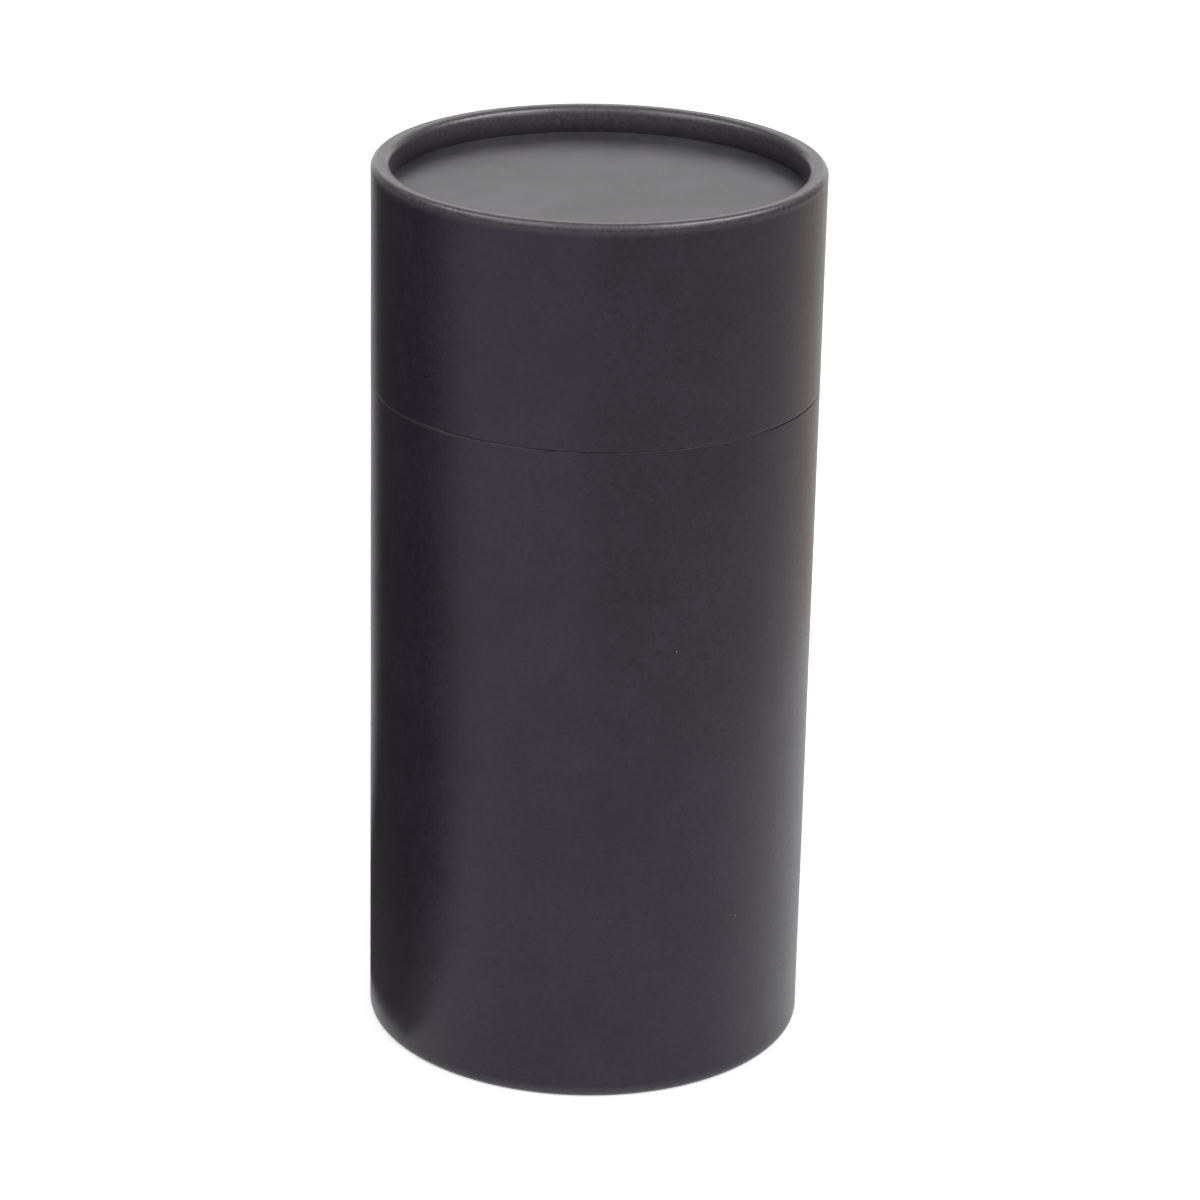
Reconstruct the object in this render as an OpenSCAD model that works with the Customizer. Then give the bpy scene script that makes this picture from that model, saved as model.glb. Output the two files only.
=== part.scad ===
// Cylindrical gift tube box with a lift-off lid over an inner neck.
// Two wound board tubes, covered in paper, meet at a flush seam. The far end of each is rolled
// inwards and holds a recessed disc. Millimetres, +Z up, origin on the floor under the centre.

/* [Box] */
// Outside diameter over the paper
tube_d = 80; // [60:1:120]
// Height of the body, from the floor to the seam
body_h = 123; // [80:0.1:240]
// Height of the lid, from the seam to the crest of its rim
lid_h = 40; // [28:0.1:70]

/* [Boards] */
// Thickness of the lid's wound board
lid_wall = 0.9; // [0.7:0.05:1.6]
// Thickness of the neck's wound board
neck_wall = 1.1; // [0.6:0.05:2.4]
// Thickness of the two end discs' board
disc_t = 1.5; // [1:0.1:3]
// Height of the ring that holds the lid's disc up and stops the neck
ring_h = 8; // [3:0.5:12]
// Thickness of that ring's board
ring_wall = 1.1; // [0.6:0.05:1.2]

/* [Papers] */
// Thickness of the facing paper on the outside, with its glue
paper_t = 0.25; // [0.15:0.01:0.5]
// Thickness of the lining papers inside, and of the paper on the neck
lining_t = 0.2; // [0.1:0.01:0.4]
// Bevel that the trimming knife leaves on the facing paper at the seam
edge_break = 0.18; // [0.05:0.01:0.25]

/* [Rolled ends] */
// Depth of the lid's disc below the crest of the rim
lid_recess = 4.7; // [3:0.1:9]
// Depth of the base disc above the floor
base_recess = 4.7; // [3:0.1:9]
// Radius of the board's outer bend
bend_round = 1.05; // [0.4:0.05:1.2]
// Radius of the board's inner bend, where the lip turns down to the disc
lip_round = 1.35; // [0.3:0.05:1.5]
// Hollow left inside the roll, as the board can't be bent tighter
fold_gap = 1.15; // [0.8:0.05:1.6]

/* [Fits] */
// Radial running gap between the lid's lining and the neck
lid_gap = 0.3; // [0.15:0.05:0.8]
// Space between the neck's top edge and the lid's ring, so that the lid seats on the seam
neck_headroom = 0.5; // [0.3:0.1:3]

/* [Hidden] */

black_paper = "#38363b";
disc_paper = "#5f5e62";
lining_paper = "#2c2b2e";
grey_board = "#9c9184";

// Radii, from the outside in
tube_r = tube_d / 2;
board_r = tube_r - paper_t;
lid_bore_r = board_r - lid_wall;
lid_clear_r = lid_bore_r - lining_t;
neck_r = lid_clear_r - lid_gap;
neck_board_r = neck_r - lining_t;
neck_bore_r = neck_board_r - neck_wall;
inside_r = neck_bore_r - lining_t;
ring_bore_r = lid_clear_r - ring_wall;

// The neck is glued into the body, so it fills the body's bore
body_wall = board_r - neck_r;

// Heights above the floor
total_h = body_h + lid_h;
base_disc_z = base_recess + paper_t;
neck_foot_z = base_disc_z + disc_t;

// Depths below the crest of the lid's rim
lid_disc_depth = lid_recess + paper_t;
lid_under_depth = lid_disc_depth + disc_t;
ring_depth = lid_under_depth + lining_t;
neck_top_z = total_h - ring_depth - ring_h - neck_headroom;

// Cuts run past the faces that they open
past = 1;
round_steps = 48;
turn_steps = 180;

// Covered inner face of a lip that is turned in from a wall
function lip_face_r(wall) = tube_r - 2 * (paper_t + wall) - fold_gap;

// Ring between two radii and two heights
module ring(r_in, r_out, z_low, z_high) {
    rotate_extrude($fn = turn_steps)
        translate([r_in, z_low])
            square([r_out - r_in, z_high - z_low]);
}

// Round plate
module plate(r, z_low, t) {
    translate([0, 0, z_low])
        cylinder(r = r, h = t, $fn = turn_steps);
}

// Section of a thick band whose low end is rounded outside and inside
module band_section(r_in, r_out, z_low, z_high, round_in, round_out) {
    translate([r_out - round_out, z_low + round_out])
        circle(r = round_out, $fn = round_steps);
    translate([r_in + round_in, z_low + round_in])
        circle(r = round_in, $fn = round_steps);
    translate([r_in + round_in, z_low])
        square([r_out - round_out - r_in - round_in, z_high - z_low]);
    translate([r_in, z_low + round_in])
        square([r_out - round_out - r_in, z_high - z_low - round_in]);
    translate([r_in, z_low + round_out])
        square([r_out - r_in, z_high - z_low - round_out]);
}

// Band that the board of a rolled end fills, before it is hollowed
module board_band(wall, top) {
    band_section(lip_face_r(wall) + paper_t, board_r, paper_t, top, lip_round, bend_round);
}

// Wound tube that stands on its rolled end: wall, hollow roll and a lip that ends at the disc
module rolled_tube(wall, recess, height) {
    rotate_extrude($fn = turn_steps)
        difference() {
            board_band(wall, height);
            translate([0, recess])
                square([board_r - wall, height]);
            translate([board_r - wall - fold_gap / 2, paper_t + wall + fold_gap / 2]) {
                circle(d = fold_gap, $fn = round_steps);
                translate([-fold_gap / 2, 0])
                    square([fold_gap, recess]);
            }
        }
}

// Facing paper on that tube: up the outside, and round the bend to the disc
module rolled_paper(wall, recess, height) {
    rotate_extrude($fn = turn_steps)
        difference() {
            band_section(
                lip_face_r(wall), tube_r, 0, height, lip_round + paper_t, bend_round + paper_t);
            board_band(wall, height + past);
            translate([0, recess])
                square([board_r, height]);
            translate([tube_r, height])
                rotate(45)
                    square(edge_break * sqrt(2), center = true);
        }
}

// Turns over what is drawn with its rolled end down, and sets it at the top
module as_lid() {
    translate([0, 0, total_h])
        mirror([0, 0, 1])
            children();
}

module lid_tube() {
    color(grey_board)
        as_lid()
            rolled_tube(lid_wall, lid_recess, lid_h);
}

module lid_wrap() {
    color(black_paper)
        as_lid()
            rolled_paper(lid_wall, lid_recess, lid_h);
}

module lid_lining() {
    color(lining_paper)
        as_lid()
            ring(lid_clear_r, lid_bore_r, ring_depth, lid_h);
}

module lid_disc() {
    color(grey_board)
        as_lid()
            plate(lid_bore_r, lid_disc_depth, disc_t);
}

module lid_disc_face() {
    color(disc_paper)
        as_lid()
            plate(lid_bore_r, lid_recess, paper_t);
}

module lid_disc_lining() {
    color(lining_paper)
        as_lid()
            plate(lid_bore_r, lid_under_depth, lining_t);
}

module lid_stop_ring() {
    color(grey_board)
        as_lid()
            ring(ring_bore_r, lid_clear_r, ring_depth, ring_depth + ring_h);
}

module lid_ring_lining() {
    color(lining_paper)
        as_lid()
            ring(ring_bore_r - lining_t, ring_bore_r, ring_depth, ring_depth + ring_h);
}

module body_tube() {
    color(grey_board)
        rolled_tube(body_wall, base_recess, body_h);
}

module body_wrap() {
    color(black_paper)
        rolled_paper(body_wall, base_recess, body_h);
}

module neck_tube() {
    color(grey_board)
        ring(neck_bore_r, neck_board_r, neck_foot_z, neck_top_z);
}

module neck_sleeve() {
    color(black_paper)
        ring(neck_board_r, neck_r, neck_foot_z, neck_top_z);
}

module neck_lining() {
    color(lining_paper)
        ring(inside_r, neck_bore_r, neck_foot_z + lining_t, neck_top_z);
}

module base_disc() {
    color(grey_board)
        plate(neck_r, base_disc_z, disc_t);
}

module base_disc_face() {
    color(black_paper)
        plate(neck_r, base_recess, paper_t);
}

module base_disc_lining() {
    color(lining_paper)
        plate(neck_bore_r, neck_foot_z, lining_t);
}

lid_tube();
lid_wrap();
lid_lining();
lid_disc();
lid_disc_face();
lid_disc_lining();
lid_stop_ring();
lid_ring_lining();
body_tube();
body_wrap();
neck_tube();
neck_sleeve();
neck_lining();
base_disc();
base_disc_face();
base_disc_lining();
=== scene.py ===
"""Looks of a cylindrical gift tube box: facing papers, linings, board edges and a studio stage."""

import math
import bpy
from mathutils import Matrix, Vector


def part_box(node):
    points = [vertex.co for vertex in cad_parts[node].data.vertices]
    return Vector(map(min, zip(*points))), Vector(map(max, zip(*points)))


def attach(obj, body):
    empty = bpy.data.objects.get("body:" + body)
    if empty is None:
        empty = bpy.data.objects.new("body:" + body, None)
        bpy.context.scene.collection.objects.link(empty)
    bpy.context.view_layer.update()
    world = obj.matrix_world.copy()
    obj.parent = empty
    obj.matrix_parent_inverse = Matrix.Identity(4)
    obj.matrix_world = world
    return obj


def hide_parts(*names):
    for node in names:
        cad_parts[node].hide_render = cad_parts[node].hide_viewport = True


bl_info = {
    "name": "Cylindrical gift tube box",
    "version": (1, 0, 0),
    "blender": (4, 5, 0),
    "location": "View3D > Sidebar > Gift Tube",
    "description": "Papers, boards and studio stage of a round rigid box with a lift-off lid",
    "category": "Object",
}

import bmesh
import bpy
from bpy.props import FloatProperty, FloatVectorProperty, PointerProperty
from mathutils import Matrix, Vector, noise

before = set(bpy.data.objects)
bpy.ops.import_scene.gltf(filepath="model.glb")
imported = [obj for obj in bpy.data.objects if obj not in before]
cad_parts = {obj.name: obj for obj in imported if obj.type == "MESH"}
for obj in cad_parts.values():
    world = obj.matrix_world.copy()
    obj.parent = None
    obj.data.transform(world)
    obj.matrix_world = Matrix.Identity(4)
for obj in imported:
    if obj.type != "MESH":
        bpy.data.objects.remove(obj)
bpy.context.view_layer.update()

MM = 0.001
# Columns round a tube, 0.35 mm apart on the outside, and round a disc
COLUMNS = 720
DISC_COLUMNS = 240
# Longest piece of a round corner's outline
ARC_STEP = 0.15 * MM


def linear(hex_text):
    """Linear RGB of an sRGB hex value."""
    parts = [int(hex_text[i : i + 2], 16) / 255 for i in (1, 3, 5)]
    return tuple(p / 12.92 if p <= 0.04045 else ((p + 0.055) / 1.055) ** 2.4 for p in parts)


def reach(node):
    """Least and greatest distance from the axis of a CAD node's vertices."""
    spans = [math.hypot(v.co.x, v.co.y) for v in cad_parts[node].data.vertices]
    return min(spans), max(spans)


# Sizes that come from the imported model
TUBE_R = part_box("body_wrap")[1].x
SEAM_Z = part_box("body_wrap")[1].z
CREST_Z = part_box("lid_wrap")[1].z
LID_LIP_R = reach("lid_wrap")[0]
BODY_LIP_R = reach("body_wrap")[0]
LID_FACE_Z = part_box("lid_disc_face")[1].z
BASE_FACE_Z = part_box("base_disc_face")[0].z


def length(name, description, default, low, high):
    """Length property in metres, from millimetres."""
    return FloatProperty(
        name=name,
        description=description,
        default=default * MM,
        min=low * MM,
        max=high * MM,
        precision=5,
        subtype="DISTANCE",
        unit="LENGTH",
    )


def tint(name, description, hex_text):
    """Colour property from an sRGB hex value."""
    return FloatVectorProperty(
        name=name,
        description=description,
        default=linear(hex_text),
        min=0,
        max=1,
        size=3,
        subtype="COLOR",
    )


class TubePaperSizes(bpy.types.PropertyGroup):
    """Sizes of the papers on the box."""

    facing_t: length("Facing paper", "Thickness of the facing paper with its glue", 0.25, 0.1, 0.6)
    bend_round: length("Outer bend", "Radius of the rolled end's outer bend, over paper", 1.3, 0.5, 1.6)
    lip_round: length("Inner bend", "Radius of the rolled end's inner bend, over paper", 1.6, 0.4, 2.0)
    cut_round: length(
        "Cut edge", "Break of the facing paper's knife-cut edge at the seam", 0.18, 0.05, 0.25)
    lap_step: length("Lap step", "Step where the facing paper laps over itself", 0.12, 0.0, 0.3)
    lap_width: length("Lap width", "Width of the facing paper's overlap", 12, 4, 20)
    crease_depth: length(
        "Roll creases", "Depth of the fine creases on the rolled ends", 0.045, 0.0, 0.15)
    wave_depth: length("Waviness", "Slow unevenness of pasted paper", 0.06, 0.0, 0.3)
    seam_slack: length("Seam slack", "Unevenness of the cut along the seam", 0.06, 0.0, 0.2)


class TubeFinishes(bpy.types.PropertyGroup):
    """Colours of the papers and boards."""

    facing: tint("Facing paper", "Dyed black paper on the outside", "#201e27")
    facing_light: tint("Facing mottle", "Lighter clouds in the facing paper", "#28252f")
    facing_sheen: tint("Facing sheen", "Tint that the dye gives to the facing paper's sheen", "#f8f4ff")
    # The disc's colours are the facing paper painted lighter, as painted light on the lid's top face
    disc: tint("Disc paper", "Dyed black paper on the lid's disc", "#3d3c42")
    disc_mottle_painted_lighter: tint("Disc mottle", "Lighter clouds in the disc's paper", "#4c4b51")
    disc_sheen: tint("Disc sheen", "Tint that the dye gives to the disc paper's sheen", "#fbfbff")
    # Pale colour of stretched or cut fibres, also used as painted light: lighter on the rolled ends,
    # painted shade fading down the lips, and a painted highlight along the seam
    wear_and_painted_light: tint("Worn edges", "Paler fibres where the paper is stretched or cut", "#635f62")
    speck: tint("Specks", "Sparse pale fibres in the facing paper", "#b8b2aa")
    lining: tint("Lining paper", "Dark lining paper inside", "#232225")
    lining_light: tint("Lining fibre", "Lighter fibres of the lining paper", "#343236")
    board: tint("Grey board", "Cut edges of the wound board", "#9c9184")
    board_dark: tint("Board glue lines", "Darker lines between the board's plies", "#6f665c")
    floor: tint("Floor", "Pale floor and backdrop", "#f4f4f4")


class TubeStageSizes(bpy.types.PropertyGroup):
    """Camera and light."""

    camera_back: length(
        "Camera distance", "Distance of the camera in front of the axis", 718.22, 300, 2000)
    camera_up: length("Camera height", "Height of the camera above the floor", 362.03, 0, 1500)
    lens: FloatProperty(
        name="Lens",
        description="Focal length in millimetres on a 36 mm sensor",
        default=127.36,
        min=20,
        max=300,
        subtype="DISTANCE_CAMERA",
        unit="CAMERA",
    )
    floor_width: length("Floor width", "Width of the floor", 6000, 1000, 20000)


def add_node(tree, kind, inputs=None, **settings):
    """Adds a node with its settings; inputs maps a socket to a value or to another node's output."""
    made = tree.nodes.new(kind)
    for name, value in settings.items():
        setattr(made, name, value)
    for socket, value in (inputs or {}).items():
        if isinstance(value, bpy.types.NodeSocket):
            tree.links.new(value, made.inputs[socket])
        else:
            made.inputs[socket].default_value = value
    return made


def new_material(name):
    """Empty node material and its output node."""
    material = bpy.data.materials.new(name)
    material.use_nodes = True
    material.node_tree.nodes.clear()
    return material, material.node_tree.nodes.new("ShaderNodeOutputMaterial")


def black_dyed_paper(name, dark, light, stray_colour, wear_and_painted_light, sheen):
    """Black dyed uncoated paper, calendered smooth and pasted on board.

    The sheet gives a soft cloudy formation, a felt of short fibres and a matt sheen that grows at
    grazing angles. Where it is stretched round the roll or cut, its fibres show paler. The same pale
    colour also carries painted light: it lightens the rolled ends, fades down the lips as painted
    shade and draws a painted highlight along the seam's cut edge.
    """
    material, output = new_material(name)
    tree = material.node_tree
    place = add_node(tree, "ShaderNodeTexCoord").outputs["Object"]
    # Sheet formation: clouds 6 mm wide inside slower ones 20 mm wide
    cloud = add_node(
        tree, "ShaderNodeTexNoise", {"Vector": place, "Scale": 165, "Detail": 3, "Roughness": 0.55})
    drift = add_node(
        tree, "ShaderNodeTexNoise", {"Vector": place, "Scale": 50, "Detail": 1, "Roughness": 0.5})
    # Felt of fibres, 0.4 mm so that it shows; real fibres are about 0.03 mm wide
    felt = add_node(
        tree, "ShaderNodeTexNoise", {"Vector": place, "Scale": 2400, "Detail": 3, "Roughness": 0.65})
    # Fibre flocks 1.1 mm wide
    flock = add_node(
        tree, "ShaderNodeTexNoise", {"Vector": place, "Scale": 900, "Detail": 2, "Roughness": 0.6})
    clouds = add_node(
        tree, "ShaderNodeMath", {0: cloud.outputs["Fac"], 1: drift.outputs["Fac"]}, operation="ADD")
    mixing = add_node(
        tree, "ShaderNodeMapRange",
        {"Value": clouds.outputs[0], "From Min": 0.75, "From Max": 1.25, "To Min": 0, "To Max": 1})
    base = add_node(
        tree, "ShaderNodeMix",
        {"Factor": mixing.outputs[0], "A": (*dark, 1), "B": (*light, 1)},
        data_type="RGBA")
    fibres = add_node(
        tree, "ShaderNodeMath", {0: felt.outputs["Fac"], 1: flock.outputs["Fac"]}, operation="ADD")
    grain = add_node(
        tree, "ShaderNodeMapRange",
        {"Value": fibres.outputs[0], "From Min": 0.7, "From Max": 1.3, "To Min": 0.68, "To Max": 1.32})
    toned = add_node(
        tree, "ShaderNodeMix",
        {"Factor": 1.0, "A": base.outputs["Result"], "B": grain.outputs[0]},
        data_type="RGBA", blend_type="MULTIPLY")
    # Pale stray fibres, 0.25 mm across and a few to a side
    stray = add_node(
        tree, "ShaderNodeTexVoronoi", {"Vector": place, "Scale": 95, "Randomness": 1})
    stray_mask = add_node(
        tree, "ShaderNodeMapRange",
        {"Value": stray.outputs["Distance"], "From Min": 0.009, "From Max": 0.014,
         "To Min": 0.8, "To Max": 0})
    colour = add_node(
        tree, "ShaderNodeMix",
        {"Factor": stray_mask.outputs[0], "A": toned.outputs["Result"], "B": (*stray_colour, 1)},
        data_type="RGBA")
    # Paler fibres on the roll and the cut, broken up by fine cracks 0.8 mm apart; the same pale colour
    # is painted light on the rolled ends, painted shade fading down the lips and a painted highlight
    # along the seam
    bend = add_node(tree, "ShaderNodeAttribute", attribute_name="bend", attribute_type="GEOMETRY")
    crack = add_node(
        tree, "ShaderNodeTexNoise", {"Vector": place, "Scale": 1250, "Detail": 3, "Roughness": 0.6})
    broken = add_node(
        tree, "ShaderNodeMapRange",
        {"Value": crack.outputs["Fac"], "From Min": 0.35, "From Max": 0.65, "To Min": 0.65,
         "To Max": 1.15})
    wear_and_painted_light_share = add_node(
        tree, "ShaderNodeMath", {0: bend.outputs["Fac"], 1: broken.outputs[0]}, operation="MULTIPLY",
        use_clamp=True)
    colour = add_node(
        tree, "ShaderNodeMix",
        {"Factor": wear_and_painted_light_share.outputs[0], "A": colour.outputs["Result"], "B": (*wear_and_painted_light, 1)},
        data_type="RGBA")
    rough = add_node(
        tree, "ShaderNodeMapRange",
        {"Value": fibres.outputs[0], "From Min": 0.7, "From Max": 1.3, "To Min": 0.31, "To Max": 0.39})
    burnish = add_node(
        tree, "ShaderNodeMath", {0: bend.outputs["Fac"], 1: -0.04, 2: rough.outputs[0]},
        operation="MULTIPLY_ADD")
    height = add_node(
        tree, "ShaderNodeMath", {0: flock.outputs["Fac"], 1: 2.0, 2: felt.outputs["Fac"]},
        operation="MULTIPLY_ADD")
    bump = add_node(
        tree, "ShaderNodeBump",
        {"Strength": 0.45, "Distance": 0.00004, "Height": height.outputs[0]})
    shader = add_node(
        tree, "ShaderNodeBsdfPrincipled",
        {"Base Color": colour.outputs["Result"], "Roughness": burnish.outputs[0], "IOR": 1.4,
         "Specular Tint": (*sheen, 1), "Normal": bump.outputs[0]})
    tree.links.new(shader.outputs[0], output.inputs["Surface"])
    return material


def black_facing_paper(finishes):
    """Facing paper of the tubes, the neck and the base."""
    return black_dyed_paper(
        "black_dyed_facing_paper", finishes.facing, finishes.facing_light, finishes.speck,
        finishes.wear_and_painted_light, finishes.facing_sheen)


def disc_paper_painted_lighter(finishes):
    """The same paper on the lid's disc, painted a shade lighter all over as painted light on the lid's
    top.
    """
    return black_dyed_paper(
        "black_dyed_disc_paper_painted_lighter", finishes.disc, finishes.disc_mottle_painted_lighter, finishes.speck,
        finishes.wear_and_painted_light, finishes.disc_sheen)


def dark_lining_paper(finishes):
    """Dark machine-glazed lining paper, thin and glued on the inside of the boards.

    It shows a streaky fibre pattern along the web and is a little shinier than the facing paper.
    """
    material, output = new_material("dark_machine_glazed_lining_paper")
    tree = material.node_tree
    place = add_node(tree, "ShaderNodeTexCoord").outputs["Object"]
    # Fibres run upright, 0.35 mm wide and 3 mm long
    web = add_node(tree, "ShaderNodeMapping", {"Vector": place, "Scale": (1, 1, 0.12)})
    fibre = add_node(
        tree, "ShaderNodeTexNoise",
        {"Vector": web.outputs[0], "Scale": 2800, "Detail": 3, "Roughness": 0.6})
    cloud = add_node(
        tree, "ShaderNodeTexNoise", {"Vector": place, "Scale": 120, "Detail": 2, "Roughness": 0.5})
    both = add_node(
        tree, "ShaderNodeMath", {0: fibre.outputs["Fac"], 1: cloud.outputs["Fac"]}, operation="ADD")
    mixing = add_node(
        tree, "ShaderNodeMapRange",
        {"Value": both.outputs[0], "From Min": 0.7, "From Max": 1.4, "To Min": 0, "To Max": 1})
    colour = add_node(
        tree, "ShaderNodeMix",
        {"Factor": mixing.outputs[0], "A": (*finishes.lining, 1), "B": (*finishes.lining_light, 1)},
        data_type="RGBA")
    rough = add_node(
        tree, "ShaderNodeMapRange",
        {"Value": cloud.outputs["Fac"], "From Min": 0.3, "From Max": 0.7, "To Min": 0.48, "To Max": 0.6})
    bump = add_node(
        tree, "ShaderNodeBump", {"Strength": 0.3, "Distance": 0.00005, "Height": fibre.outputs["Fac"]})
    shader = add_node(
        tree, "ShaderNodeBsdfPrincipled",
        {"Base Color": colour.outputs["Result"], "Roughness": rough.outputs[0], "IOR": 1.5,
         "Normal": bump.outputs[0]})
    tree.links.new(shader.outputs[0], output.inputs["Surface"])
    return material


def grey_wound_board(finishes):
    """Recycled grey board, wound in plies and knife cut.

    The cut edges show the plies as rings with darker glue lines, and flecks of pulp.
    """
    material, output = new_material("grey_recycled_wound_board")
    tree = material.node_tree
    place = add_node(tree, "ShaderNodeTexCoord").outputs["Object"]
    flat = add_node(tree, "ShaderNodeVectorMath", {0: place, 1: (1, 1, 0)}, operation="MULTIPLY")
    from_axis = add_node(tree, "ShaderNodeVectorMath", {0: flat.outputs[0]}, operation="LENGTH")
    fleck = add_node(
        tree, "ShaderNodeTexNoise", {"Vector": place, "Scale": 1900, "Detail": 4, "Roughness": 0.7})
    # Plies 0.35 mm thick, moved a little by the flecks
    turns = add_node(
        tree, "ShaderNodeMath", {0: from_axis.outputs["Value"], 1: 2857.0, 2: fleck.outputs["Fac"]},
        operation="MULTIPLY_ADD")
    saw = add_node(tree, "ShaderNodeMath", {0: turns.outputs[0]}, operation="FRACT")
    glue = add_node(
        tree, "ShaderNodeMapRange",
        {"Value": saw.outputs[0], "From Min": 0.0, "From Max": 0.3, "To Min": 0.75, "To Max": 0})
    pulp = add_node(
        tree, "ShaderNodeMapRange",
        {"Value": fleck.outputs["Fac"], "From Min": 0.3, "From Max": 0.75, "To Min": 0.82,
         "To Max": 1.1})
    plies = add_node(
        tree, "ShaderNodeMix",
        {"Factor": glue.outputs[0], "A": (*finishes.board, 1), "B": (*finishes.board_dark, 1)},
        data_type="RGBA")
    colour = add_node(
        tree, "ShaderNodeMix",
        {"Factor": 1.0, "A": plies.outputs["Result"], "B": pulp.outputs[0]},
        data_type="RGBA", blend_type="MULTIPLY")
    bump = add_node(
        tree, "ShaderNodeBump", {"Strength": 0.5, "Distance": 0.00008, "Height": fleck.outputs["Fac"]})
    shader = add_node(
        tree, "ShaderNodeBsdfPrincipled",
        {"Base Color": colour.outputs["Result"], "Roughness": 0.9, "IOR": 1.45,
         "Normal": bump.outputs[0]})
    tree.links.new(shader.outputs[0], output.inputs["Surface"])
    return material


def shared_material(maker):
    """Material that a maker function makes once for all pieces."""
    key = "tube_" + maker.__name__
    name = bpy.context.scene.get(key)
    if name is None:
        made = maker(bpy.context.scene.tube_finishes)
        bpy.context.scene[key] = made.name
        return made
    return bpy.data.materials[name]


def ripple(angle, radius, wavelength, level=0.0):
    """Smooth noise from -1 to 1 that runs round a circle, with the wavelength given in metres."""
    across = radius / wavelength
    return noise.noise(Vector((across * math.cos(angle), across * math.sin(angle), level)))


def smooth_step(low, high, value):
    """0 below low, 1 above high, eased between."""
    share = min(max((value - low) / (high - low), 0), 1)
    return share * share * (3 - 2 * share)


def round_section(corners, row):
    """Closed outline in the XZ plane whose corners are bevelled round, cut into rows of a length.

    A corner is (radius from the axis, height, round).
    """
    section = bmesh.new()
    points = [section.verts.new((r, 0, z)) for r, z, _ in corners]
    section.faces.new(points)
    for point, (_, _, rounding) in zip(points, corners):
        if rounding > 0:
            # A quarter turn is about 1.6 radii long
            bmesh.ops.bevel(
                section, geom=[point], offset=rounding, offset_type="OFFSET", affect="VERTICES",
                segments=max(3, round(rounding * 1.6 / ARC_STEP)), profile=0.5, material=-1)
    for edge in section.edges[:]:
        cuts = int(edge.calc_length() / row(edge)) if row(edge) > 0 else 0
        if cuts > 0:
            bmesh.ops.subdivide_edges(section, edges=[edge], cuts=cuts)
    bmesh.ops.delete(section, geom=section.faces[:], context="FACES_ONLY")
    return section


def turn(section, columns):
    """Turns an outline once round the Z axis into a closed shell with its faces outward."""
    # One sector is spun and then copied, which is far quicker than a spin of all columns
    sectors = 12
    bmesh.ops.spin(
        section, geom=section.verts[:] + section.edges[:], cent=(0, 0, 0), axis=(0, 0, 1),
        dvec=(0, 0, 0), angle=math.tau / sectors, steps=columns // sectors, use_merge=False,
        use_duplicate=False)
    bmesh.ops.spin(
        section, geom=section.verts[:] + section.edges[:] + section.faces[:], cent=(0, 0, 0),
        axis=(0, 0, 1), dvec=(0, 0, 0), angle=math.tau * (sectors - 1) / sectors,
        steps=sectors - 1, use_merge=False, use_duplicate=True)
    bmesh.ops.remove_doubles(section, verts=section.verts[:], dist=0.001 * MM)
    bmesh.ops.recalc_face_normals(section, faces=section.faces[:])
    section.normal_update()
    return section


def polar(vert):
    """Angle and radius of a vertex."""
    return math.atan2(vert.co.y, vert.co.x), math.hypot(vert.co.x, vert.co.y)


def move_out(vert, step, angle):
    """Moves a vertex away from the axis."""
    vert.co.x += step * math.cos(angle)
    vert.co.y += step * math.sin(angle)


def lap_height(angle, edge_angle, width_angle, rise_angle):
    """Share of the lap's step at an angle: eased up over the hidden edge, sharp at the free one."""
    before = (edge_angle - angle) % math.tau
    if before > width_angle:
        return 0.0
    return smooth_step(0, rise_angle, width_angle - before)


def sharpen_lap(shell, columns, edge_angle, radius):
    """Sets two columns of a turned shell close together, which gives its lap a sharp free edge."""
    step = math.tau / columns
    for vert in shell.verts:
        angle, _ = polar(vert)
        after = (angle - edge_angle) % math.tau
        if after < step * 0.98:
            vert.co = Matrix.Rotation(0.02 * MM / radius - after, 3, "Z") @ vert.co


def finish_piece(bm, name, body, material, slot, *nodes):
    """Makes a mesh piece that rides on a body and stands for CAD nodes."""
    mesh = bpy.data.meshes.new(name)
    bm.to_mesh(mesh)
    bm.free()
    mesh.polygons.foreach_set("use_smooth", [True] * len(mesh.polygons))
    mesh.set_sharp_from_angle(angle=math.radians(50))
    mesh.materials.append(material)
    piece = bpy.data.objects.new(name, mesh)
    bpy.context.scene.collection.objects.link(piece)
    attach(piece, body)
    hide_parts(*nodes)
    return piece


# Where the facing paper's free edge lies: behind, to the left as the camera sees it
LAP_ANGLE = math.radians(130)
LAP_RISE = 1.2 * MM
# Share of the half turn of a roll at which the paper leaves the straight wall
BEND_START = 0.12
# Band along the cut edge that the uneven cut moves, and the strongest share of its pale cut fibres and
# painted highlight
SEAM_BAND = 0.7 * MM
SEAM_PALE_CUT_AND_HIGHLIGHT = 0.4
# Small tear in the lid's cut edge, on the front
NICK_ANGLE = math.radians(-111.5)
NICK_WIDTH = 0.25 * MM
NICK_DEPTH = 0.12 * MM
# Laps and waves of the thin papers inside and on the neck
LINING_LAP_WIDTH = 8 * MM
LINING_LAP_RISE = 1 * MM
LINING_LAP_STEP = 0.1 * MM
LINING_WAVE = 0.03 * MM
# Starts of the noise on the two facing papers
LID_SEED = 1
BODY_SEED = 2


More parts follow.
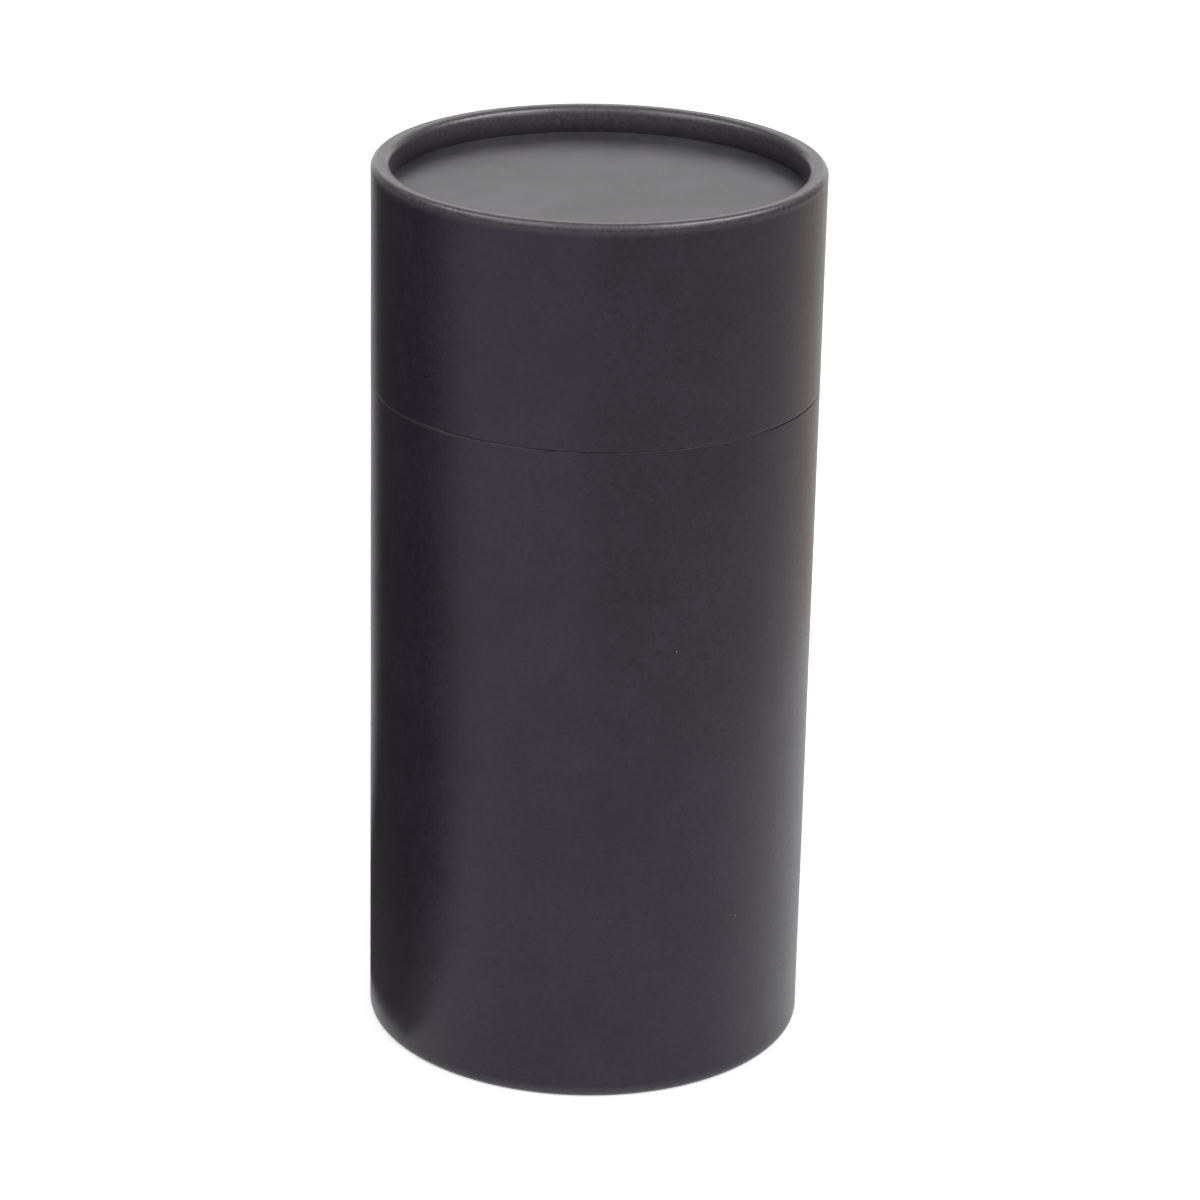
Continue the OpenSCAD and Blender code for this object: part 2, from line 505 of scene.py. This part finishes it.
def rolled_paper(sizes, lip_r, recess, height, seed):
    """Facing paper of one tube, standing on its rolled end."""
    is_lid = seed == LID_SEED
    t = sizes.facing_t
    flat = TUBE_R - lip_r - sizes.bend_round - sizes.lip_round
    # The two corners without a round keep the wall straight beside the bends
    corners = (
        (TUBE_R, height, sizes.cut_round),
        (TUBE_R, height - 0.5 * MM, 0),
        (TUBE_R, sizes.bend_round + 1 * MM, 0),
        (TUBE_R, 0, sizes.bend_round),
        (lip_r, 0, sizes.lip_round),
        (lip_r, recess, 0),
        (lip_r + t, recess, 0),
        (lip_r + t, t, sizes.lip_round - t),
        (TUBE_R - t, t, sizes.bend_round - t),
        (TUBE_R - t, height, 0),
    )

    def row(edge):
        middle = (edge.verts[0].co + edge.verts[1].co) / 2
        if middle.x > TUBE_R - t / 2:
            return 3 * MM
        if middle.x < lip_r + t / 2:
            return 0.5 * MM
        return max(flat / 3, 0.3 * MM) if middle.z < t / 2 else 0

    shell = turn(round_section(corners, row), COLUMNS)
    # Share of the pale colour: wear with painted light on the roll and down the lip, and a painted
    # highlight along the cut
    bend = shell.verts.layers.float.new("bend")
    middle_r = (TUBE_R + lip_r) / 2
    moves = []
    for vert in shell.verts:
        angle, r = polar(vert)
        axis_z = max(vert.co.z, sizes.bend_round)
        # Only the shown side of the paper is worked on, which faces away from the roll's middle
        away = Vector((r - middle_r, vert.co.z - axis_z))
        outward = vert.normal.x * math.cos(angle) + vert.normal.y * math.sin(angle)
        if away.dot(Vector((outward, vert.normal.z))) <= 0:
            continue
        # Share of the way round the bend: 0 on the wall, 0.5 on the crest, 1 on the lip
        share = math.atan2(axis_z - vert.co.z, r - middle_r) / math.pi
        rolled = smooth_step(BEND_START, 0.55, share)
        down_lip = smooth_step(0, 1, (vert.co.z - sizes.bend_round) / recess) if share > 0.9 else 0
        # Pinched creases that start on the bend and run down the lip
        fine = 0.6 * ripple(angle, TUBE_R, 1.5 * MM, seed)
        fine += 0.4 * ripple(angle, TUBE_R, 0.7 * MM, seed + 5)
        slow = ripple(angle, TUBE_R, 13 * MM, seed + 9)
        inward = sizes.crease_depth * rolled * (1 - 0.4 * down_lip) * (0.5 + 0.5 * fine)
        inward += sizes.wave_depth * rolled * (0.5 + 0.5 * slow)
        if share < BEND_START:
            wall = noise.noise(Vector((vert.co.x, vert.co.y, 0.6 * vert.co.z)) / (16 * MM))
            inward += sizes.wave_depth * (0.5 + 0.5 * wall) * smooth_step(0, 6 * MM, vert.co.z)
        # The pale wear with painted light fades out from the crest, 1 mm down the wall, and all the way
        # down the lip, which paints the lip darker towards the disc as painted shade
        if share < 0.5:
            along = (0.5 - share) * math.pi * sizes.bend_round + axis_z - sizes.bend_round
            vert[bend] = smooth_step(2.85 * MM, 0.95 * MM, along)
        else:
            along = (share - 0.5) * math.pi * sizes.lip_round
            along += max(vert.co.z - sizes.lip_round, 0) if share > 0.9 else 0
            vert[bend] = smooth_step(1.6 * recess, 0.3 * recess, along) ** 1.5
        lap = lap_height(
            angle, LAP_ANGLE, sizes.lap_width / TUBE_R, LAP_RISE / TUBE_R) * sizes.lap_step
        lap *= 1 - smooth_step(0.1, 0.4, share)
        radial = Vector((math.cos(angle), math.sin(angle), 0))
        moves.append((vert, radial * lap - vert.normal * inward))
    for vert, move in moves:
        vert.co += move
    # Uneven knife cut along the seam
    for vert in shell.verts:
        if vert.co.z < height - SEAM_BAND:
            continue
        angle, _ = polar(vert)
        cut = 0.35 + 0.35 * ripple(angle, TUBE_R, 18 * MM, seed)
        cut += 0.3 * ripple(angle, TUBE_R, 2.5 * MM, seed)
        tear = math.exp(-(((angle - NICK_ANGLE) * TUBE_R / NICK_WIDTH) ** 2))
        # Pale cut fibres and a painted highlight on the cut edge: on the body's edge on the left, on the
        # lid's on the right, broken into dashes
        side = math.cos(angle) - 0.25 if is_lid else 0.3 - math.cos(angle)
        pale_cut_and_highlight = side + 0.6 * ripple(angle, TUBE_R, 3 * MM, seed + 2)
        pale_cut_and_highlight += 0.5 * ripple(angle, TUBE_R, 9 * MM, seed + 3)
        close = smooth_step(0.5, 0.1, (height - vert.co.z) / MM)
        vert[bend] = SEAM_PALE_CUT_AND_HIGHLIGHT * close * min(max(pale_cut_and_highlight, 0), 1)
        vert.co.z -= max(cut, 0) * sizes.seam_slack + NICK_DEPTH * tear * is_lid
    sharpen_lap(shell, COLUMNS, LAP_ANGLE, TUBE_R)
    return shell


def paper_tube(r_in, r_out, z_low, z_high, lap_angle, inside, seed):
    """Thin paper tube with a lap on its shown side: inside, or outside."""
    corners = ((r_in, z_low, 0), (r_out, z_low, 0), (r_out, z_high, 0), (r_in, z_high, 0))
    shell = turn(round_section(corners, lambda edge: 4 * MM), COLUMNS // 2)
    shown_r = r_in if inside else r_out
    sign = -1 if inside else 1
    for vert in shell.verts:
        angle, r = polar(vert)
        if abs(r - shown_r) > 0.01 * MM:
            continue
        wave = noise.noise(Vector((vert.co.x, vert.co.y, vert.co.z + seed)) / (14 * MM))
        lap = LINING_LAP_STEP * lap_height(
            angle, lap_angle, LINING_LAP_WIDTH / shown_r, LINING_LAP_RISE / shown_r)
        sink = 0 if lap > 0 else LINING_WAVE * (0.5 + 0.5 * wave)
        move_out(vert, sign * (lap * 0.5 - sink), angle)
    sharpen_lap(shell, COLUMNS // 2, lap_angle, shown_r)
    return shell


def paper_disc(radius, z_low, z_high, shown_up, depth, seed):
    """Round paper whose shown face is slightly uneven over the board."""
    corners = ((0, z_low, 0), (radius, z_low, 0), (radius, z_high, 0), (0, z_high, 0))
    shell = round_section(corners, lambda edge: 1.2 * MM if edge.calc_length() > 2 * MM else 0)
    on_axis = [e for e in shell.edges if e.verts[0].co.x < 0.01 * MM and e.verts[1].co.x < 0.01 * MM]
    bmesh.ops.delete(shell, geom=on_axis, context="EDGES")
    shell = turn(shell, DISC_COLUMNS)
    face_z = z_high if shown_up else z_low
    sign = -1 if shown_up else 1
    for vert in shell.verts:
        if abs(vert.co.z - face_z) > 0.01 * MM:
            continue
        broad = noise.noise(Vector((vert.co.x, vert.co.y, seed)) / (19 * MM))
        close = noise.noise(Vector((vert.co.x, vert.co.y, seed + 3)) / (7 * MM))
        vert.co.z += sign * depth * (0.5 + 0.35 * broad + 0.15 * close)
    return shell


class TUBE_OT_facing_papers(bpy.types.Operator):
    """Make the facing papers of the lid and the body"""

    bl_idname = "tube.facing_papers"
    bl_label = "Facing papers"

    def execute(self, context):
        sizes = context.scene.tube_papers
        paper = shared_material(black_facing_paper)
        lid = rolled_paper(sizes, LID_LIP_R, CREST_Z - LID_FACE_Z, CREST_Z - SEAM_Z, LID_SEED)
        bmesh.ops.scale(lid, vec=(1, 1, -1), verts=lid.verts[:])
        bmesh.ops.translate(lid, vec=(0, 0, CREST_Z), verts=lid.verts[:])
        bmesh.ops.recalc_face_normals(lid, faces=lid.faces[:])
        finish_piece(lid, "lid_facing_paper", "lid", paper, "facing_paper", "lid_wrap")
        body = rolled_paper(sizes, BODY_LIP_R, BASE_FACE_Z, SEAM_Z, BODY_SEED)
        finish_piece(body, "body_facing_paper", "body", paper, "facing_paper", "body_wrap")
        return {"FINISHED"}


class TUBE_OT_disc_papers(bpy.types.Operator):
    """Make the round papers on the lid's disc and the base disc"""

    bl_idname = "tube.disc_papers"
    bl_label = "Disc papers"

    def execute(self, context):
        facing = shared_material(black_facing_paper)
        disc_paper = shared_material(disc_paper_painted_lighter)
        lining = shared_material(dark_lining_paper)
        # CAD node, body, whether its upper face is shown, unevenness in millimetres, material, slot
        parts = (
            ("lid_disc_face", "lid", True, 0.05, disc_paper, "disc_paper"),
            ("lid_disc_lining", "lid", False, 0.04, lining, "lining_paper"),
            ("base_disc_face", "body", False, 0.05, facing, "facing_paper"),
            ("base_disc_lining", "body", True, 0.04, lining, "lining_paper"),
        )
        for seed, (node, body, up, depth, material, slot) in enumerate(parts):
            low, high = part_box(node)
            disc = paper_disc(reach(node)[1], low.z, high.z, up, depth * MM, seed * 0.7)
            finish_piece(disc, node + "_paper", body, material, slot, node)
        return {"FINISHED"}


class TUBE_OT_tube_papers(bpy.types.Operator):
    """Make the paper tubes that line the lid and cover the neck"""

    bl_idname = "tube.tube_papers"
    bl_label = "Linings and neck"

    def execute(self, context):
        facing = shared_material(black_facing_paper)
        lining = shared_material(dark_lining_paper)
        # CAD node, body, the lap's angle in degrees, whether its inside is shown, material, slot
        parts = (
            ("neck_sleeve", "body", 80, False, facing, "facing_paper"),
            ("neck_lining", "body", -20, True, lining, "lining_paper"),
            ("lid_lining", "lid", 60, True, lining, "lining_paper"),
            ("lid_ring_lining", "lid", 160, True, lining, "lining_paper"),
        )
        for seed, (node, body, lap, inside, material, slot) in enumerate(parts):
            low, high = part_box(node)
            r_in, r_out = reach(node)
            tube = paper_tube(r_in, r_out, low.z, high.z, math.radians(lap), inside, seed)
            finish_piece(tube, node + "_paper", body, material, slot, node)
        return {"FINISHED"}


class TUBE_OT_boards(bpy.types.Operator):
    """Finish the wound tubes and board discs"""

    bl_idname = "tube.boards"
    bl_label = "Boards"

    def execute(self, context):
        board = shared_material(grey_wound_board)
        for name in ("lid_tube", "lid_disc", "lid_stop_ring", "body_tube", "neck_tube", "base_disc"):
            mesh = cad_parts[name].data
            mesh.materials.clear()
            mesh.materials.append(board)
        return {"FINISHED"}


# Tent's levels by azimuth in degrees from the camera's side: low, middle and high part
TENT_LEVELS = (
    (-179.9, 0.3, 1.86, 0.0),
    (-174, 0.4, 1.84, 0.0),
    (-168, 1.6, 1.75, 0.0),
    (-162, 1.6, 1.5, 0.0),
    (-155, 1.4, 0.5, 0.0),
    (-138, 0.0, 0.0, 0.0),
    (-95, 0.0, 0.0, 0.05),
    (-70, 0.0, 0.04, 0.38),
    (-50, 0.0, 0.08, 0.7),
    (-30, 0.0, 0.28, 1.34),
    (10, 0.0, 0.28, 1.4),
    (50, 0.0, 0.4, 1.5),
    (70, 0.0, 0.28, 1.1),
    (90, 0.0, 0.22, 0.8),
    (110, 0.0, 0.03, 0.2),
    (130, 0.0, 0.0, 0.0),
    (145, 0.8, 0.3, 0.0),
    (155, 1.6, 0.9, 0.0),
    (168, 1.6, 1.84, 0.0),
    (174, 0.4, 1.86, 0.0),
    (179.9, 0.3, 1.86, 0.0),
)
# Level of the tent's top, and the tent's radius in metres
TENT_TOP = 0.7
TENT_R = 2.5
# Height that the lamps face
LAMP_AIM_Z = 0.09
# The camera's pan, downward tilt and small roll in radians, fitted to the outlines in the photo
CAMERA_PAN = -0.00233
CAMERA_TILT = 0.37347
CAMERA_ROLL = 0.0216
# Matt sheets round the box, seen only in the object's gloss: the two grey felts are painted shade
# reflected on the box's left side, and the glowing warm card is a painted reflection on its right.
# Columns: piece, material, colour near the box and further out, glow, sweep in degrees, and the line
# where the sweep starts, as radii in metres and azimuths
SHEETS = (
    ("painted_shade_felt", "dark_grey_painted_shade_felt", (0.28, 0.26, 0.26), (0.13, 0.12, 0.12), 0,
     66, ((0.043, -136), (0.15, -139), (0.35, -148), (1.2, -155.5))),
    ("painted_shade_felt_edge", "mid_grey_painted_shade_felt", (0.5, 0.47, 0.47), (0.5, 0.47, 0.47), 0,
     11, ((0.043, -70), (0.15, -73), (0.35, -82), (1.2, -89.5))),
    # Warm card that glows though it is no lamp: a painted reflection on the box's right side
    ("painted_reflection_card", "warm_white_glowing_reflection_card", (0.95, 0.86, 0.81), (0.95, 0.86, 0.81), 0.27,
     150, ((0.22, 0), (2.4, 0))),
)


def background_share(tree):
    """Output that is 1 where the camera, a reflection or clear glass sees the stage."""
    path = add_node(tree, "ShaderNodeLightPath")
    seen = add_node(
        tree, "ShaderNodeMath",
        {0: path.outputs["Is Camera Ray"], 1: path.outputs["Is Glossy Ray"]}, operation="MAXIMUM")
    return add_node(
        tree, "ShaderNodeMath",
        {0: seen.outputs[0], 1: path.outputs["Is Transmission Ray"]}, operation="MAXIMUM").outputs[0]


def pale_floor(colour):
    """Pale matt studio floor that keeps the object's shadow and can be looked through from below."""
    material, output = new_material("pale_matt_studio_floor")
    tree = material.node_tree
    share = background_share(tree)
    matt = add_node(tree, "ShaderNodeBsdfDiffuse", {"Color": (*colour, 1)})
    # A glow where the floor is seen lifts it to the backdrop's white, and lights nothing
    lift = add_node(tree, "ShaderNodeMath", {0: share, 1: 0.6}, operation="MULTIPLY")
    glow = add_node(
        tree, "ShaderNodeEmission", {"Color": (1, 1, 1, 1), "Strength": lift.outputs[0]})
    both = add_node(tree, "ShaderNodeAddShader", {0: matt.outputs[0], 1: glow.outputs[0]})
    clear = add_node(tree, "ShaderNodeBsdfTransparent")
    under = add_node(tree, "ShaderNodeNewGeometry")
    mixed = add_node(
        tree, "ShaderNodeMixShader",
        {0: under.outputs["Backfacing"], 1: both.outputs[0], 2: clear.outputs[0]})
    tree.links.new(mixed.outputs[0], output.inputs["Surface"])
    return material


def tent_cloth():
    """White cloth of a light tent: a wall behind, a bank high in front, and shade on the left.

    The brightness follows the direction from the object, so the tent is a soft studio light.
    """
    material, output = new_material("white_light_tent_cloth")
    tree = material.node_tree
    place = add_node(tree, "ShaderNodeTexCoord").outputs["Object"]
    toward = add_node(tree, "ShaderNodeVectorMath", {0: place}, operation="NORMALIZE")
    parts = add_node(tree, "ShaderNodeSeparateXYZ", {0: toward.outputs[0]})
    front = add_node(tree, "ShaderNodeMath", {0: parts.outputs["Y"], 1: -1}, operation="MULTIPLY")
    # Azimuth from the camera's side, positive to the right, from 0 to 1 over the whole turn
    azimuth = add_node(
        tree, "ShaderNodeMath", {0: parts.outputs["X"], 1: front.outputs[0]}, operation="ARCTAN2")
    turn_share = add_node(
        tree, "ShaderNodeMapRange",
        {"Value": azimuth.outputs[0], "From Min": -math.pi, "From Max": math.pi, "To Min": 0,
         "To Max": 1})
    # The ramp's red, green and blue are the levels of the low, middle and high part
    round_tent = add_node(tree, "ShaderNodeValToRGB", {"Fac": turn_share.outputs[0]})
    stops = round_tent.color_ramp.elements
    for degrees, low, middle, high in TENT_LEVELS:
        stop = stops.new((degrees + 180) / 360)
        stop.color = (low, middle, high, 1)
    stops.remove(stops[-1])
    stops.remove(stops[0])
    levels = add_node(tree, "ShaderNodeSeparateColor", {0: round_tent.outputs["Color"]})
    level = levels.outputs[0]
    # Each part blends into the next one up between two sines of the elevation
    for start, end, upper in (
        (0.24, 0.38, levels.outputs[1]), (0.60, 0.74, levels.outputs[2]), (0.91, 0.97, TENT_TOP)
    ):
        share = add_node(
            tree, "ShaderNodeMapRange",
            {"Value": parts.outputs["Z"], "From Min": start, "From Max": end, "To Min": 0, "To Max": 1})
        blend = add_node(
            tree, "ShaderNodeMix", {0: share.outputs[0], 2: level, 3: upper}, data_type="FLOAT")
        level = blend.outputs[0]
    # The walls and the bank are a little warmer than the top
    cloth = add_node(
        tree, "ShaderNodeMix",
        {"Factor": share.outputs[0], "A": (1.02, 1.0, 0.985, 1), "B": (1, 1, 1, 1)}, data_type="RGBA")
    glow = add_node(tree, "ShaderNodeEmission", {"Color": cloth.outputs["Result"], "Strength": level})
    tree.links.new(glow.outputs[0], output.inputs["Surface"])
    return material


def matt_sheet(name, near, far, glow):
    """Matt sheet laid on the floor, seen only in the object's gloss. A dark sheet is painted shade; a
    sheet with a glow is a painted reflection.

    Its colour changes from 50 to 120 mm away from the object's axis; the felts' painted shade is
    lighter near the box.
    """
    material, output = new_material(name)
    tree = material.node_tree
    place = add_node(tree, "ShaderNodeTexCoord").outputs["Object"]
    away = add_node(tree, "ShaderNodeVectorMath", {0: place}, operation="LENGTH")
    share = add_node(
        tree, "ShaderNodeMapRange",
        {"Value": away.outputs["Value"], "From Min": 0.05, "From Max": 0.12, "To Min": 0, "To Max": 1})
    colour = add_node(
        tree, "ShaderNodeMix",
        {"Factor": share.outputs[0], "A": (*near, 1), "B": (*far, 1)}, data_type="RGBA")
    pile = add_node(tree, "ShaderNodeBsdfDiffuse", {"Color": colour.outputs["Result"]})
    lit = add_node(tree, "ShaderNodeEmission", {"Color": colour.outputs["Result"], "Strength": glow})
    both = add_node(tree, "ShaderNodeAddShader", {0: pile.outputs[0], 1: lit.outputs[0]})
    tree.links.new(both.outputs[0], output.inputs["Surface"])
    return material


def stage_piece(bm, name, material):
    """Mesh object that belongs to the stage."""
    mesh = bpy.data.meshes.new(name)
    bm.to_mesh(mesh)
    bm.free()
    mesh.materials.append(material)
    made = bpy.data.objects.new(name, mesh)
    bpy.context.scene.collection.objects.link(made)
    return made


def floor_sheet(name, material, sweep, start):
    """Sheet on the floor round the object. Its start is a line of points (radius, azimuth)."""
    sheet = bmesh.new()
    points = []
    for r, azimuth in start:
        a = math.radians(azimuth)
        points.append(sheet.verts.new((r * math.sin(a), -r * math.cos(a), 0.5 * MM)))
    lines = [sheet.edges.new(ends) for ends in zip(points, points[1:])]
    bmesh.ops.spin(
        sheet, geom=[*points, *lines], cent=(0, 0, 0), axis=(0, 0, 1), dvec=(0, 0, 0),
        angle=math.radians(sweep), steps=24, use_merge=False, use_duplicate=False)
    sheet = stage_piece(sheet, name, material)
    sheet.visible_camera = False
    sheet.visible_diffuse = False
    sheet.visible_shadow = False
    return sheet


def soft_lamp(name, azimuth, elevation, distance, width, height, power, roll=0):
    """Soft box that faces the middle of the object. Azimuth 0 is the camera's side, 90 its right.

    Angles are in degrees, lengths in metres and the power in watts.
    """
    lamp = bpy.data.lights.new(name, "AREA")
    lamp.shape = "RECTANGLE"
    lamp.size = width
    lamp.size_y = height
    lamp.energy = power
    made = bpy.data.objects.new(name, lamp)
    a, e = math.radians(azimuth), math.radians(elevation)
    away = Vector((math.sin(a) * math.cos(e), -math.cos(a) * math.cos(e), math.sin(e)))
    made.location = Vector((0, 0, LAMP_AIM_Z)) + away * distance
    turned = away.to_track_quat("Z", "Y").to_matrix() @ Matrix.Rotation(math.radians(roll), 3, "Z")
    made.rotation_euler = turned.to_euler()
    bpy.context.scene.collection.objects.link(made)
    return made


class TUBE_OT_stage(bpy.types.Operator):
    """Set the camera, the floor, the backdrop and the lamps"""

    bl_idname = "tube.stage"
    bl_label = "Stage"

    def execute(self, context):
        scene = context.scene
        settings = scene.tube_stage
        scene.view_settings.view_transform = "Standard"

        camera_data = bpy.data.cameras.new("camera")
        camera_data.sensor_width = 36
        camera_data.lens = settings.lens
        camera = bpy.data.objects.new("camera", camera_data)
        camera.location = (0, -settings.camera_back, settings.camera_up)
        turned = (
            Matrix.Rotation(CAMERA_PAN, 4, "Z")
            @ Matrix.Rotation(math.pi / 2 - CAMERA_TILT, 4, "X")
            @ Matrix.Rotation(CAMERA_ROLL, 4, "Z")
        )
        camera.rotation_euler = turned.to_euler()
        scene.collection.objects.link(camera)
        scene.camera = camera

        floor = bmesh.new()
        bmesh.ops.create_grid(floor, x_segments=2, y_segments=2, size=settings.floor_width / 2)
        stage_piece(floor, "floor", pale_floor(scene.tube_finishes.floor))

        world = bpy.data.worlds.new("studio_world")
        scene.world = world
        world.use_nodes = True
        tree = world.node_tree
        tree.nodes.clear()
        # Half strength as a light, and white where it is seen
        path = background_share(tree)
        dim = add_node(tree, "ShaderNodeBackground", {"Color": (1, 1, 1, 1), "Strength": 0.5})
        white = add_node(tree, "ShaderNodeBackground", {"Color": (1, 1, 1, 1), "Strength": 1.0})
        mixed = add_node(tree, "ShaderNodeMixShader", {0: path, 1: dim.outputs[0], 2: white.outputs[0]})
        output = tree.nodes.new("ShaderNodeOutputWorld")
        tree.links.new(mixed.outputs[0], output.inputs["Surface"])

        tent = bmesh.new()
        bmesh.ops.create_uvsphere(tent, u_segments=64, v_segments=32, radius=TENT_R)
        bmesh.ops.bisect_plane(
            tent, geom=tent.verts[:] + tent.edges[:] + tent.faces[:], dist=0, plane_co=(0, 0, 0),
            plane_no=(0, 0, 1), clear_inner=True)
        bmesh.ops.reverse_faces(tent, faces=tent.faces[:])
        tent = stage_piece(tent, "light_tent", tent_cloth())
        tent.visible_camera = False

        for name, cover, near, far, glow, sweep, start in SHEETS:
            floor_sheet(name, matt_sheet(cover, near, far, glow), sweep, start)

        soft_lamp("soft_box_left", -50, 40, 1.3, 0.6, 0.6, 3.6)
        soft_lamp("soft_box_right", 50, 40, 1.3, 0.6, 0.6, 3.6)
        # Strips that run from high in front to the side, and only draw the gloss on the rim
        strips = (
            soft_lamp("strip_left", -85, 56, 1.3, 0.9, 0.33, 8, roll=39),
            soft_lamp("strip_right", 86, 56, 1.3, 0.9, 0.33, 15, roll=-39),
        )
        for strip in strips:
            strip.visible_diffuse = False
        return {"FINISHED"}


class TUBE_PT_panel(bpy.types.Panel):
    """Gift tube box"""

    bl_idname = "TUBE_PT_panel"
    bl_label = "Gift tube box"
    bl_space_type = "VIEW_3D"
    bl_region_type = "UI"
    bl_category = "Gift Tube"

    def draw(self, context):
        scene = context.scene
        for group in (scene.tube_papers, scene.tube_finishes, scene.tube_stage):
            box = self.layout.box()
            for name in group.__annotations__:
                box.prop(group, name)
        for operator in OPERATORS:
            self.layout.operator(operator.bl_idname)


OPERATORS = (
    TUBE_OT_facing_papers,
    TUBE_OT_disc_papers,
    TUBE_OT_tube_papers,
    TUBE_OT_boards,
    TUBE_OT_stage,
)
GROUPS = (TubePaperSizes, TubeFinishes, TubeStageSizes)


def register():
    for made in (*GROUPS, *OPERATORS, TUBE_PT_panel):
        bpy.utils.register_class(made)
    bpy.types.Scene.tube_papers = PointerProperty(type=TubePaperSizes)
    bpy.types.Scene.tube_finishes = PointerProperty(type=TubeFinishes)
    bpy.types.Scene.tube_stage = PointerProperty(type=TubeStageSizes)


def unregister():
    del bpy.types.Scene.tube_stage
    del bpy.types.Scene.tube_finishes
    del bpy.types.Scene.tube_papers
    for made in reversed((*GROUPS, *OPERATORS, TUBE_PT_panel)):
        bpy.utils.unregister_class(made)


def main():
    register()
    bpy.ops.tube.facing_papers()
    bpy.ops.tube.disc_papers()
    bpy.ops.tube.tube_papers()
    bpy.ops.tube.boards()
    bpy.ops.tube.stage()


if __name__ == "__main__":
    main()
